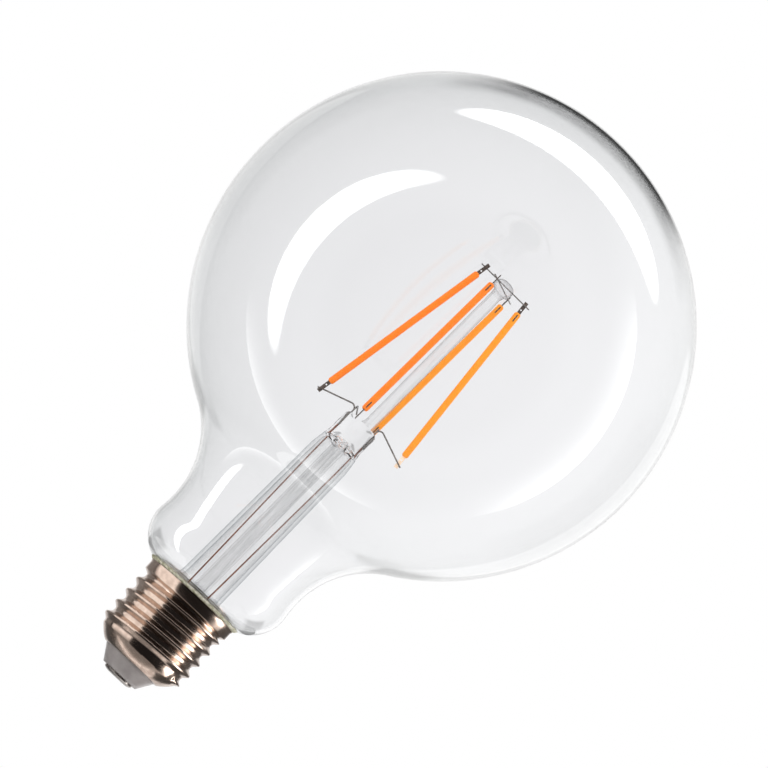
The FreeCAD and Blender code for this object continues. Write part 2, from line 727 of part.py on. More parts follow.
def driver():
    # round board with its components under it, between the glass seal and the insulator
    top = "Sizes.board_top"
    under = "Derived.board_bottom"
    disc = cylinder("board_disc", "Sizes.board_radius", "Sizes.board_depth", ("0", "0", under))
    holes = []
    for place, mark in (("-Sizes.lead_foot", "left"), ("Sizes.lead_foot", "right"), ("0", "middle")):
        holes.append(cylinder(f"board_hole_{mark}", "Sizes.lead_radius + Sizes.sleeve_clearance",
                              "2 * Sizes.board_depth", (place, "0", f"{under} - Sizes.board_depth / 2")))
    holes.append(cylinder("board_hole_shell", "Sizes.cap_wire_radius + Sizes.sleeve_clearance",
                          "2 * Sizes.board_depth", ("0", "Derived.shell_wire_place",
                                                    f"{under} - Sizes.board_depth / 2")))
    finish(cut("driver_board", disc, holes), "driver_board")
    can = cylinder("capacitor", "Sizes.capacitor_radius", "Sizes.capacitor_length",
                   ("-Sizes.capacitor_place", "0", f"{under} - Sizes.capacitor_length"))
    finish(can, "capacitor")
    bridge = box("rectifier", "Sizes.rectifier_length", "Sizes.rectifier_width", "Sizes.rectifier_depth",
                 ("Sizes.rectifier_place", "0", f"{under} - Sizes.rectifier_depth"))
    finish(bridge, "rectifier")
    chip = box("driver_chip", "Sizes.chip_length", "Sizes.chip_width", "Sizes.chip_depth",
               ("0", "-Sizes.chip_place", top))
    finish(chip, "driver_chip")
    lead = "Sizes.cap_wire_radius"
    low = "Sizes.shank_top + (Derived.board_bottom - Sizes.shank_top - Sizes.resistor_length) / 2"
    resistor = turned("fuse_resistor", [
        ("0", "Sizes.contact_depth + Sizes.fit_clearance"),
        (lead, "Sizes.contact_depth + Sizes.fit_clearance"),
        (lead, low),
        ("Sizes.resistor_radius", low),
        ("Sizes.resistor_radius", f"{low} + Sizes.resistor_length"),
        (lead, f"{low} + Sizes.resistor_length"),
        (lead, top),
        ("0", top),
    ])
    finish(resistor, "fuse_resistor")
    across = value("Derived.shell_wire_place")
    wall = value("Derived.shell_bore") - size("cap_wire_radius") - size("fit_clearance")
    rise = size("neck_end") - size("rim_height") - size("board_top")
    run = [Vector(0, across, value(under)), Vector(0, across, size("board_top") + rise / 3),
           Vector(0, wall, size("board_top") + 2 * rise / 3)]
    finish(wire("shell_wire", run, size("cap_wire_radius"), size("lead_bend")), "shell_wire")


glassEnvelope()
capShell()
capInsulator()
centreContact()
cementRing()
stemFlare()
exhaustTube()
supportPost()
crossWires()
leadWires()
filaments()
driver()
doc.recompute()

for item in doc.Objects:
    if "Invalid" in item.State or "Error" in item.State:
        raise RuntimeError(f"{item.Name} failed: {item.State}")
for solid in parts:
    if solid.Shape.isNull() or not solid.Shape.isValid():
        raise RuntimeError(f"{solid.Label} has no valid shape")
os.makedirs("parts", exist_ok=True)
for solid in parts:
    solid.Shape.exportStep(f"parts/{solid.Label}.step")
    print(solid.Label, len(solid.Shape.Solids), round(solid.Shape.Volume, 2))
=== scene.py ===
import bmesh
import bpy
import math
from mathutils import Matrix, Vector, noise


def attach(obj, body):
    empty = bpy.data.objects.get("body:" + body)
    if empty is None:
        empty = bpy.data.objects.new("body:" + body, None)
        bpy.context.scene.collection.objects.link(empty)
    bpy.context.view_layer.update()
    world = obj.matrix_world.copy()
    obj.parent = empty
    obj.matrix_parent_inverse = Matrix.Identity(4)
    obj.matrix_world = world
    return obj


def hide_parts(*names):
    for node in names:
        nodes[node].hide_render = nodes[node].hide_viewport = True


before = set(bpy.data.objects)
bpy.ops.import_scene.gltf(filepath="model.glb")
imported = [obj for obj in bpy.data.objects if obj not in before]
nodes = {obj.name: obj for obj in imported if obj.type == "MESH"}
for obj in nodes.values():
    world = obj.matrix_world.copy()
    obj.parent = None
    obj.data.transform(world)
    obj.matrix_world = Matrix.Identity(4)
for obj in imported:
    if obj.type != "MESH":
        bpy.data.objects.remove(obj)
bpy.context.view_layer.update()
mm = 0.001
print("frame loaded")


def linear(hexColor):
    # sRGB hex to the linear colour that the shaders take
    parts = [int(hexColor[start:start + 2], 16) / 255 for start in (1, 3, 5)]
    return [part / 12.92 if part <= 0.04045 else ((part + 0.055) / 1.055) ** 2.4
            for part in parts] + [1]


def addNode(tree, kind, values=None):
    # one node; a value that is another node's socket is linked, any other is set
    node = tree.nodes.new(kind)
    for key, value in (values or {}).items():
        if isinstance(value, bpy.types.NodeSocket):
            tree.links.new(value, node.inputs[key])
        elif isinstance(key, int) or key in node.inputs:
            node.inputs[key].default_value = value
        else:
            setattr(node, key, value)
    return node


def newMaterial(name):
    # an empty material and the Object coordinates that its patterns read
    material = bpy.data.materials.new(name)
    material.use_nodes = True
    tree = material.node_tree
    tree.nodes.clear()
    return material, tree, addNode(tree, "ShaderNodeTexCoord").outputs["Object"]


noiseSpan = {"From Min": 0.3, "From Max": 0.7}  # where nearly all values of a noise lie


def patternNoise(tree, position, sizeMm, detail, stretch=(1, 1, 1)):
    # noise whose blotches are about sizeMm across
    mapping = addNode(tree, "ShaderNodeMapping", {"Scale": stretch, "Vector": position})
    return addNode(tree, "ShaderNodeTexNoise", {
        "Scale": 1 / (sizeMm * mm), "Detail": detail, "Vector": mapping.outputs[0]}).outputs[0]


def cloudyColor(tree, position, light, dark, sizeMm, detail=4):
    # two colours in cloudy patches; hands back the colour and its noise
    grain = patternNoise(tree, position, sizeMm, detail)
    share = addNode(tree, "ShaderNodeMapRange", {**noiseSpan, "Value": grain}).outputs[0]
    color = addNode(tree, "ShaderNodeMix", {
        "data_type": "RGBA", 0: share, 6: linear(light), 7: linear(dark)}).outputs[2]
    return color, grain


def finishGlass(material, tree, tint, bump, ior):
    # light reaches the parts inside without being bent, so that they don't lie in a hard shadow
    glass = addNode(tree, "ShaderNodeBsdfPrincipled", {
        "Base Color": tint, "Roughness": 0.0, "IOR": ior, "Transmission Weight": 1.0,
        "Normal": bump.outputs[0]})
    path = addNode(tree, "ShaderNodeLightPath")
    clear = addNode(tree, "ShaderNodeBsdfTransparent", {"Color": tint})
    both = addNode(tree, "ShaderNodeMixShader", {
        0: path.outputs["Is Shadow Ray"], 1: glass.outputs[0], 2: clear.outputs[0]})
    addNode(tree, "ShaderNodeOutputMaterial", {"Surface": both.outputs[0]})
    return material


def blownGlass():
    # soda-lime glass, blown: clear, grey-green towards the rim, where its own faint green is
    # deepened into painted rim shade, with slow waves in its wall
    material, tree, position = newMaterial("blownSodaLimeGlass")
    # the facing tint is painted shade along the rim, in place of the dark room the rim would pick
    # up
    facing = addNode(tree, "ShaderNodeLayerWeight", {"Blend": 0.12}).outputs["Facing"]
    tint = addNode(tree, "ShaderNodeMix", {
        "data_type": "RGBA", 0: facing, 6: linear("#FAFAFB"), 7: linear("#D6DAD8")}).outputs[2]
    waves = patternNoise(tree, position, 22, 1)
    bump = addNode(tree, "ShaderNodeBump", {
        "Strength": 0.05, "Distance": 0.4 * mm, "Height": waves})
    return finishGlass(material, tree, tint, bump, 1.5)


def drawnGlass():
    # lead-free stem glass, drawn and flame worked: clear with streaks along its length, and painted
    # grey shade along its rim
    material, tree, position = newMaterial("drawnStemGlass")
    streaks = patternNoise(tree, position, 1.2, 2, (1, 1, 0.06))
    facing = addNode(tree, "ShaderNodeLayerWeight", {"Blend": 0.5}).outputs["Facing"]
    # the rim term greys the grazing edge as painted shade
    rim = addNode(tree, "ShaderNodeMath", {"operation": "POWER", 0: facing, 1: 9}).outputs[0]
    faint = addNode(tree, "ShaderNodeMapRange", {
        **noiseSpan, "To Max": 0.03, "Value": streaks}).outputs[0]
    edge = addNode(tree, "ShaderNodeMath", {
        "operation": "ADD", "use_clamp": True, 0: rim, 1: faint}).outputs[0]
    tint = addNode(tree, "ShaderNodeMix", {
        "data_type": "RGBA", 0: edge, 6: linear("#FEFEFE"), 7: linear("#9FA2A3")}).outputs[2]
    bump = addNode(tree, "ShaderNodeBump", {
        "Strength": 0.015, "Distance": 0.1 * mm, "Height": streaks})
    return finishGlass(material, tree, tint, bump, 1.52)


def thinGlass(name, paintedShadeColor, power, sheenShare, haze=0.0, lines=0.0):
    # thin drawn glass that doesn't bend light: nearly invisible in the middle, with painted shade
    # along both edges in place of the dark lines that bent light would draw, tinted in fine drawing
    # lines, a little milky where haze is above 0
    material, tree, position = newMaterial(name)
    streaks = patternNoise(tree, position, 0.8, 2, (1, 1, 0.05))
    streak = addNode(tree, "ShaderNodeMapRange", {**noiseSpan, "Value": streaks}).outputs[0]
    facing = addNode(tree, "ShaderNodeLayerWeight", {"Blend": 0.5}).outputs["Facing"]
    # the rim term is painted edge shade
    rim = addNode(tree, "ShaderNodeMath", {"operation": "POWER", 0: facing, 1: power}).outputs[0]
    drawn = addNode(tree, "ShaderNodeMath", {"operation": "POWER", 0: streak, 1: 4}).outputs[0]
    edge = addNode(tree, "ShaderNodeMath", {
        "operation": "MULTIPLY_ADD", "use_clamp": True, 0: drawn, 1: lines, 2: rim}).outputs[0]
    tint = addNode(tree, "ShaderNodeMix", {
        "data_type": "RGBA", 0: edge, 6: linear("#FDFDFD"), 7: linear(paintedShadeColor)}).outputs[2]
    clear = addNode(tree, "ShaderNodeBsdfTransparent", {"Color": tint})
    if haze:
        milk = addNode(tree, "ShaderNodeBsdfDiffuse", {"Color": linear("#EDEDEF")})
        clear = addNode(tree, "ShaderNodeMixShader", {
            0: haze, 1: clear.outputs[0], 2: milk.outputs[0]})
    rough = addNode(tree, "ShaderNodeMapRange", {"To Min": 0.02, "To Max": 0.08, "Value": streak})
    sheen = addNode(tree, "ShaderNodeBsdfGlossy", {"Roughness": rough.outputs[0]})
    fresnel = addNode(tree, "ShaderNodeFresnel", {"IOR": 1.5}).outputs[0]
    share = addNode(tree, "ShaderNodeMath", {
        "operation": "MULTIPLY", "use_clamp": True, 0: fresnel, 1: sheenShare})
    both = addNode(tree, "ShaderNodeMixShader", {
        0: share.outputs[0], 1: clear.outputs[0], 2: sheen.outputs[0]})
    addNode(tree, "ShaderNodeOutputMaterial", {"Surface": both.outputs[0]})
    return material


def metalFinish(name, light, dark, roughLow, roughHigh, grainMm, bumpMm=0.0):
    # a bare metal with cloudy changes of colour and gloss; its real grain is too fine to show, so
    # grainMm is as coarse as it needs to be
    material, tree, position = newMaterial(name)
    color, grain = cloudyColor(tree, position, light, dark, grainMm)
    rough = addNode(tree, "ShaderNodeMapRange", {
        **noiseSpan, "To Min": roughLow, "To Max": roughHigh, "Value": grain})
    metal = {"Metallic": 1.0, "Base Color": color, "Roughness": rough.outputs[0]}
    if bumpMm:
        bump = addNode(tree, "ShaderNodeBump", {
            "Strength": 0.4, "Distance": bumpMm * mm, "Height": grain})
        metal["Normal"] = bump.outputs[0]
    shader = addNode(tree, "ShaderNodeBsdfPrincipled", metal)
    addNode(tree, "ShaderNodeOutputMaterial", {"Surface": shader.outputs[0]})
    return material


def plainFinish(name, light, dark, roughness, grainMm, bumpMm=0.02):
    # a moulded, painted or fired body with cloudy changes of colour, coarser than the real ones
    material, tree, position = newMaterial(name)
    color, grain = cloudyColor(tree, position, light, dark, grainMm)
    bump = addNode(tree, "ShaderNodeBump", {
        "Strength": 0.4, "Distance": bumpMm * mm, "Height": grain})
    shader = addNode(tree, "ShaderNodeBsdfPrincipled", {
        "Base Color": color, "Roughness": roughness, "Normal": bump.outputs[0]})
    addNode(tree, "ShaderNodeOutputMaterial", {"Surface": shader.outputs[0]})
    return material


def paintedGlowFinish(name, light, dark):
    # silicone with phosphor, dispensed round the strip: deep orange with a painted glow, standing
    # in for how it fluoresces a little in daylight; single grains of phosphor are too fine to show,
    # so its clouds are 1.5 mm wide
    material, tree, position = newMaterial(name)
    color, grain = cloudyColor(tree, position, light, dark, 1.5, 3)
    bump = addNode(tree, "ShaderNodeBump", {
        "Strength": 0.3, "Distance": 0.05 * mm, "Height": grain})
    shader = addNode(tree, "ShaderNodeBsdfPrincipled", {
        # the emission is a painted glow: the coat is no lamp
        "Base Color": color, "Roughness": 0.42, "IOR": 1.41, "Emission Color": color,
        "Emission Strength": 0.3, "Normal": bump.outputs[0]})
    addNode(tree, "ShaderNodeOutputMaterial", {"Surface": shader.outputs[0]})
    return material


finishes = {
    # glass, blown, drawn and melted: a clear body with painted shade along its edges and small
    # bright lines
    "globe": blownGlass(),
    "stem": drawnGlass(),
    # the dark colour given to each thin glass is its painted edge shade
    "stemTube": thinGlass("thinStemTube", "#CBCFD1", 3.2, 0.2, lines=0.14),
    "thinTube": thinGlass("thinExhaustTube", "#5E6264", 14.0, 0.2, lines=0.16),
    "post": thinGlass("drawnPostGlass", "#3E3835", 5.5, 0.4, 0.02, 0.16),
    "button": thinGlass("meltedButtonGlass", "#46342B", 2.6, 0.4, 0.14),
    # nickel-plated brass, rolled or stamped: a warm mirror, a little cloudy
    "shell": metalFinish("rolledNickelPlatedBrass", "#CDB9AB", "#B7A193", 0.16, 0.26, 1.6, 0.01),
    "contact": metalFinish("stampedNickelContact", "#C9C2BC", "#A79F99", 0.18, 0.35, 1.0, 0.01),
    # moulded grey body with a soft shine, and matt cream cement that turns olive
    "insulator": plainFinish("mouldedGreyInsulator", "#A9A29F", "#99918F", 0.3, 2.5),
    "cement": plainFinish("curedLampCement", "#F1EDDF", "#8C8A55", 0.6, 0.9, 0.08),
    # drawn wires, brown or grey, with thin long lights
    "copper": metalFinish("copperCladWire", "#A9694A", "#7E4A35", 0.25, 0.45, 1.2),
    "nickelWire": metalFinish("drawnNickelWire", "#9A948F", "#6F6863", 0.25, 0.4, 0.8),
    # rubbery coats, orange with a painted glow: one phosphor in two copies, deeper in front and on
    # the left, and paler on the back and right as painted light; and a pale glowing tab that is a
    # painted highlight
    "phosphor": paintedGlowFinish("dispensedPhosphorDeep", "#FF8502", "#FF7B00"),
    "paintedLitPhosphor": paintedGlowFinish("dispensedPhosphorPaintedLit", "#FFA118", "#FF9810"),
    # a pale glowing finish that is a painted highlight on one tab
    "paintedGlintTab": paintedGlowFinish("paintedTabGlint", "#FFE9D2", "#FFD9B0"),
    # brown etched steel, and what is held inside: fired, moulded, drawn and lacquered bodies
    "tab": metalFinish("etchedSteelTab", "#7A6A60", "#53463E", 0.3, 0.5, 0.7),
    "strip": plainFinish("firedAluminaStrip", "#EDE7D6", "#DAD2BC", 0.5, 0.8),
    "board": plainFinish("glassEpoxyBoard", "#3B7A50", "#2C633F", 0.35, 1.5),
    "can": metalFinish("sleevedAluminiumCan", "#A6ACB1", "#8E9499", 0.3, 0.45, 1.5),
    "resin": plainFinish("mouldedBlackResin", "#26262A", "#19191C", 0.55, 0.6),
    "resistor": plainFinish("lacqueredCeramicBody", "#5C9496", "#477E80", 0.35, 0.9),
}
print("materials made")


def place(mesh, name, finish, node=None):
    # a finished piece on the lamp's one body, in place of its solid where it has one
    piece = bpy.data.objects.new(name, mesh)
    bpy.context.scene.collection.objects.link(piece)
    mesh.materials.clear()
    mesh.materials.append(finishes[finish])
    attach(piece, "root")
    if node:
        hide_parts(node)
    return piece


def roundArc(centre, radius, start, end, steps):
    # points of an arc, angles in degrees
    angles = [math.radians(start + (end - start) * step / steps) for step in range(steps + 1)]
    return [(centre[0] + radius * math.cos(angle), centre[1] + radius * math.sin(angle))
            for angle in angles]


def straight(first, last, steps):
    # points of a straight stretch, without its first one
    return [(first[0] + (last[0] - first[0]) * step / steps,
             first[1] + (last[1] - first[1]) * step / steps) for step in range(1, steps + 1)]


def newTree(name, inputs):
    # an empty geometry tree with its named inputs
    tree = bpy.data.node_groups.new(name, "GeometryNodeTree")
    for label, kind, setting in [("Geometry", "NodeSocketGeometry", None)] + inputs:
        socket = tree.interface.new_socket(label, in_out="INPUT", socket_type=kind)
        if setting is not None:
            socket.default_value = setting
    tree.interface.new_socket("Geometry", in_out="OUTPUT", socket_type="NodeSocketGeometry")
    return tree, addNode(tree, "NodeGroupInput").outputs


def closeTree(tree, start, geometry):
    # each tree ends in smooth, real and dressed faces
    smooth = addNode(tree, "GeometryNodeSetShadeSmooth", {"Geometry": geometry})
    real = addNode(tree, "GeometryNodeRealizeInstances", {"Geometry": smooth.outputs[0]})
    dressed = addNode(tree, "GeometryNodeSetMaterial", {
        "Geometry": real.outputs[0], "Material": start["Material"]})
    addNode(tree, "NodeGroupOutput", {0: dressed.outputs[0]})
    return tree


def wireTree():
    # a run of straight edges becomes a round wire with bends of one radius
    tree, start = newTree("bentRoundWire", [
        ("Radius", "NodeSocketFloat", 0.2 * mm), ("Bend", "NodeSocketFloat", 1.2 * mm),
        ("Sides", "NodeSocketInt", 16), ("Material", "NodeSocketMaterial", None)])
    line = addNode(tree, "GeometryNodeMeshToCurve", {"Mesh": start["Geometry"]})
    bent = addNode(tree, "GeometryNodeFilletCurve", {
        "mode": "POLY", "Count": 10, "Limit Radius": True, "Curve": line.outputs[0],
        "Radius": start["Bend"]})
    section = addNode(tree, "GeometryNodeCurvePrimitiveCircle", {
        "Resolution": start["Sides"], "Radius": start["Radius"]})
    wire = addNode(tree, "GeometryNodeCurveToMesh", {
        "Fill Caps": True, "Curve": bent.outputs[0], "Profile Curve": section.outputs[0]})
    return closeTree(tree, start, wire.outputs[0])


def turnTree():
    # an outline in the XZ plane is carried round Z, ring by ring
    tree, start = newTree("turnedRound", [
        ("Rings", "NodeSocketInt", 8), ("Turns", "NodeSocketInt", 96),
        ("Material", "NodeSocketMaterial", None)])
    columns = addNode(tree, "ShaderNodeMath", {"operation": "ADD", 0: start["Turns"], 1: 1})
    grid = addNode(tree, "GeometryNodeMeshGrid", {
        "Vertices X": start["Rings"], "Vertices Y": columns.outputs[0]})
    number = addNode(tree, "GeometryNodeInputIndex").outputs[0]
    within = addNode(tree, "ShaderNodeMath", {"operation": "ADD", 0: number, 1: 0.5})
    share = addNode(tree, "ShaderNodeMath", {
        "operation": "DIVIDE", 0: within.outputs[0], 1: columns.outputs[0]})
    ring = addNode(tree, "ShaderNodeMath", {"operation": "FLOOR", 0: share.outputs[0]})
    before = addNode(tree, "ShaderNodeMath", {
        "operation": "MULTIPLY", 0: ring.outputs[0], 1: columns.outputs[0]})
    turn = addNode(tree, "ShaderNodeMath", {
        "operation": "SUBTRACT", 0: number, 1: before.outputs[0]})
    part = addNode(tree, "ShaderNodeMath", {
        "operation": "DIVIDE", 0: turn.outputs[0], 1: start["Turns"]})
    angle = addNode(tree, "ShaderNodeMath", {
        "operation": "MULTIPLY", 0: part.outputs[0], 1: 2 * math.pi})
    here = addNode(tree, "GeometryNodeInputPosition").outputs[0]
    taken = addNode(tree, "GeometryNodeSampleIndex", {
        "data_type": "FLOAT_VECTOR", "domain": "POINT", "Geometry": start["Geometry"],
        "Index": ring.outputs[0]})
    valueIn = [socket for socket in taken.inputs if socket.name == "Value" and socket.enabled][0]
    valueOut = [socket for socket in taken.outputs if socket.enabled][0]
    tree.links.new(here, valueIn)
    spot = addNode(tree, "ShaderNodeVectorRotate", {
        "rotation_type": "Z_AXIS", "Vector": valueOut, "Angle": angle.outputs[0]})
    moved = addNode(tree, "GeometryNodeSetPosition", {
        "Geometry": grid.outputs[0], "Position": spot.outputs[0]})
    whole = addNode(tree, "GeometryNodeMergeByDistance", {
        "Distance": 1e-6, "Geometry": moved.outputs[0]})
    return closeTree(tree, start, whole.outputs[0])


trees = {"wire": wireTree(), "turn": turnTree()}


def grow(tree, points, edges, settings, finish):
    # runs a geometry tree on a line of points (mm) and hands back its plain mesh
    line = bpy.data.meshes.new("line")
    line.from_pydata([tuple(Vector(point) * mm) for point in points], edges, [])
    maker = bpy.data.objects.new("maker", line)
    bpy.context.scene.collection.objects.link(maker)
    modifier = maker.modifiers.new("grow", "NODES")
    modifier.node_group = tree
    values = {**settings, "Material": finishes[finish]}
    for socket in tree.interface.items_tree:
        if socket.in_out == "INPUT" and socket.name in values:
            modifier[socket.identifier] = values[socket.name]
    maker.update_tag()
    evaluated = maker.evaluated_get(bpy.context.evaluated_depsgraph_get())
    mesh = bpy.data.meshes.new_from_object(evaluated)
    bpy.data.objects.remove(maker)
    bpy.data.meshes.remove(line)
    return mesh


def turned(profile, turns, finish, shape=None):
    # profile is (radius, height) in mm; where it doesn't end on the axis it closes on its start
    points = [(radius, 0, height) for radius, height in profile]
    if profile[0][0] > 0 or profile[-1][0] > 0:
        points.append(points[0])
    mesh = grow(trees["turn"], points, [], {"Rings": len(points), "Turns": turns}, finish)
    bm = bmesh.new()
    bm.from_mesh(mesh)
    if shape:
        for vert in bm.verts:
            vert.co = shape(vert.co)
    bmesh.ops.remove_doubles(bm, verts=bm.verts, dist=1e-7)
    bmesh.ops.dissolve_degenerate(bm, edges=bm.edges, dist=1e-8)
    bmesh.ops.recalc_face_normals(bm, faces=bm.faces)
    bm.to_mesh(mesh)
    bm.free()
    for face in mesh.polygons:
        face.use_smooth = True
    return mesh


def smoothCopy(nodeName, name, finish, angle=35, soften=None):
    # the solid's own mesh, welded and smoothed, with its edges kept; soften rounds off one spot
    bm = bmesh.new()
    bm.from_mesh(nodes[nodeName].data)
    bmesh.ops.remove_doubles(bm, verts=bm.verts, dist=2e-6)
    if soften:
        spot = Vector(soften["spot"]) * mm
        near = [vert for vert in bm.verts if (vert.co - spot).length < soften["reach"] * mm]
        for _ in range(soften["rounds"]):
            bmesh.ops.smooth_vert(bm, verts=near, factor=0.5,
                                  use_axis_x=True, use_axis_y=True, use_axis_z=True)
    mesh = bpy.data.meshes.new(name)
    bm.to_mesh(mesh)
    bm.free()
    for face in mesh.polygons:
        face.use_smooth = True
    mesh.set_sharp_from_angle(angle=math.radians(angle))
    return place(mesh, name, finish, nodeName)


globeSizes = {"radius": 62.5, "height": 116.75, "wall": 0.8, "waist": 20.0, "throat": 24.3,
              "shoulder": 10.0, "shoulderHeight": 37.0, "neck": 11.0, "fillet": 1.6,
              "neckEnd": 22.0, "turns": 192}


def globeProfile(inset):
    # neck, fillet, shoulder, throat and globe, each arc tangent to the next
    s = globeSizes
    side = s["waist"] + s["throat"]
    throat = (side, s["height"] - math.sqrt((s["radius"] + s["throat"]) ** 2 - side ** 2))
    reach = s["throat"] + s["shoulder"]
    drop = throat[1] - s["shoulderHeight"]
    shoulder = (side - math.sqrt(reach ** 2 - drop ** 2), s["shoulderHeight"])
    filletSide = s["neck"] + s["fillet"]
    reach = s["shoulder"] + s["fillet"]
    drop = math.sqrt(reach ** 2 - (filletSide - shoulder[0]) ** 2)
    fillet = (filletSide, s["shoulderHeight"] - drop)
    globe = (0, s["height"])

    def heading(first, second):
        return math.degrees(math.atan2(second[1] - first[1], second[0] - first[0]))

    points = [(s["neck"] - inset, s["neckEnd"])]
    points += roundArc(fillet, s["fillet"] + inset, 180, heading(fillet, shoulder), 8)
    points += roundArc(shoulder, s["shoulder"] - inset,
                       heading(shoulder, fillet), heading(shoulder, throat), 24)[1:]
    points += roundArc(throat, s["throat"] + inset,
                       heading(throat, shoulder) % 360, heading(throat, globe), 24)[1:]
    points += roundArc(globe, s["radius"] - inset, heading(globe, throat), 90, 96)[1:]
    points[-1] = (0, points[-1][1])
    return points


def makeGlobe():
    outside = globeProfile(0)
    inside = globeProfile(globeSizes["wall"])
    mesh = turned(outside + inside[::-1], globeSizes["turns"], "globe")
    place(mesh, "globeGlass", "globe", "glass_envelope")


# waves and folds are the unevenness of the pressed glass: size in mm, and how many to a metre;
# depthShare is how much of a wave goes into its depth; slack tells inner from outer faces (mm);
# top and dome are outlines: distance from the outer or share of the inner radius, and height from
# the pinch's or the cavity's top
stemSizes = {"lean": 1.8, "pivot": 24.0, "radius": 5.75, "foot": 6.3, "wall": 0.9,
             "flareTop": 31.0, "flareEdge": 10.9, "rim": 21.2, "pinchStart": 78.0,
             "pinchTop": 86.0, "halfWidth": 4.9, "halfDepth": 2.0, "squareness": 3.2,
             "pressStart": 75.0, "pressRise": 5.5, "cavity": 79.7, "cavityDepth": 2.2,
             "folds": 0.55, "foldsPerMetre": 900, "waves": 0.22, "wavesPerMetre": 420,
             "depthShare": 0.6, "slack": 0.1, "rimSlant": 3,
             "top": ((0.4, -0.25), (1.2, 0)), "crown": 0.15, "edgeDrop": 0.8,
             "dome": ((0, 0), (0.15, -0.02), (0.3, -0.06), (0.45, -0.15), (0.6, -0.3),
                      (0.75, -0.6), (0.88, -1.1), (0.96, -1.9)), "domeDepth": 3.2,
             "thinBelow": 77.7, "turns": 96}


def leanOver(point):
    # the whole mount leans about a point in the glass seal
    turn = Matrix.Rotation(math.radians(stemSizes["lean"]), 4, "Y")
    pivot = Vector((0, 0, stemSizes["pivot"] * mm))
    return turn @ (point - pivot) + pivot


def pressFlat(point):
    # above the pinch's foot the round tube runs over into a flat block with soft edges
    s = stemSizes
    height = point.z / mm
    share = min(max((height - s["pressStart"]) / s["pressRise"], 0), 1)
    share = share * share * (3 - 2 * share)
    radius = math.hypot(point.x, point.y) / mm
    if share > 0 and radius > 0:
        angle = math.atan2(point.y, point.x)
        power = s["squareness"]
        block = (abs(math.cos(angle) / s["halfWidth"]) ** power
                 + abs(math.sin(angle) / s["halfDepth"]) ** power) ** (-1 / power)
        scale = 1 + share * (block / s["radius"] - 1)
        point.x *= scale
        point.y *= scale
        wave = noise.noise(Vector(point) * s["wavesPerMetre"]) * s["waves"] * mm * share
        point.x += wave
        point.y += wave * s["depthShare"]
    inCavity = s["cavity"] - s["cavityDepth"] < height < s["cavity"] + s["slack"]
    if radius < s["radius"] - s["wall"] - s["slack"] and inCavity:
        fold = noise.noise(Vector((point.x, point.y * 0.5, 0)) * s["foldsPerMetre"]) - 0.5
        point.z += fold * s["folds"] * mm
    return leanOver(point)


def makeStem():
    s = stemSizes
    reach = s["flareEdge"] - s["foot"]
    rise = s["flareTop"] - s["rim"]
    bend = (reach ** 2 + rise ** 2) / (2 * reach)
    low = 180 + math.degrees(math.asin(rise / bend))
    centre = (s["foot"] + bend, s["flareTop"])
    inner = s["radius"] - s["wall"]
    flare = roundArc(centre, bend, low, 180, 16)
    flareInside = roundArc(centre, bend + s["wall"], low - s["rimSlant"], 180, 16)
    tube = straight((s["foot"], s["flareTop"]), (s["radius"], s["pinchStart"]), 12)
    blockTop = (s["radius"], s["pinchTop"] - s["edgeDrop"])
    block = straight((s["radius"], s["pinchStart"]), blockTop, 16)
    top = [(s["radius"] - inward, s["pinchTop"] + rise) for inward, rise in s["top"]]
    top.append((0, s["pinchTop"] + s["crown"]))
    dome = [(inner * share, s["cavity"] + rise) for share, rise in s["dome"]]
    boreTop = (inner, s["cavity"] - s["domeDepth"])
    bore = straight((s["foot"] - s["wall"], s["flareTop"]), boreTop, 8)
    profile = flare + tube + block + top + dome + bore[::-1] + flareInside[::-1]
    mesh = turned(profile, s["turns"], "stem", pressFlat)
    place(mesh, "stemGlass", "stem", "stem_flare")
    mesh.materials.append(finishes["stemTube"])
    for face in mesh.polygons:
        if face.center.z < s["thinBelow"] * mm:
            face.material_index = 1


exhaustSizes = {"radius": 1.9, "wall": 0.55, "bottom": 18.4, "top": 78.2, "turns": 48}


def makeExhaustTube():
    s = exhaustSizes
    inner = s["radius"] - s["wall"]
    centre = (0, s["bottom"] + s["radius"])
    outside = roundArc(centre, s["radius"], -90, 0, 8) + [(s["radius"], s["top"])]
    inside = [(inner, s["top"])] + roundArc(centre, inner, 0, -90, 8)
    outside[0] = (0, outside[0][1])
    inside[-1] = (0, inside[-1][1])
    mesh = turned(outside + inside, s["turns"], "thinTube", leanOver)
    place(mesh, "exhaustTubeGlass", "thinTube", "exhaust_tube")


# the foot's points are given by how much they stand out from the rod and above its bottom
postSizes = {"radius": 1.55, "offset": 1.4, "bottom": 86.05, "foot": ((0.6, 0.0), (0.2, 0.6)),
             "footTop": 1.4, "buttonBottom": 132.6, "buttonTop": 136.2, "button": 2.75,
             "bulge": 0.7, "flatness": 0.8, "lip": 0.3, "lipsPerMetre": 500, "droop": 0.35,
             "softZone": 1.0, "meltedAbove": 131.8, "turns": 48}


def pressButton(point):
    # the melted end is pressed a little flat, with an uneven lower lip
    s = postSizes
    height = point.z / mm
    if height > s["buttonBottom"] - s["softZone"]:
        lip = noise.noise(Vector(point) * s["lipsPerMetre"]) * s["lip"] * mm
        point.x += lip
        point.y = point.y * s["flatness"] + lip
        if point.x > 0 and height < s["buttonBottom"] + s["softZone"]:
            point.z -= s["droop"] * point.x / s["button"]
    point.x += s["offset"] * mm
    return leanOver(point)


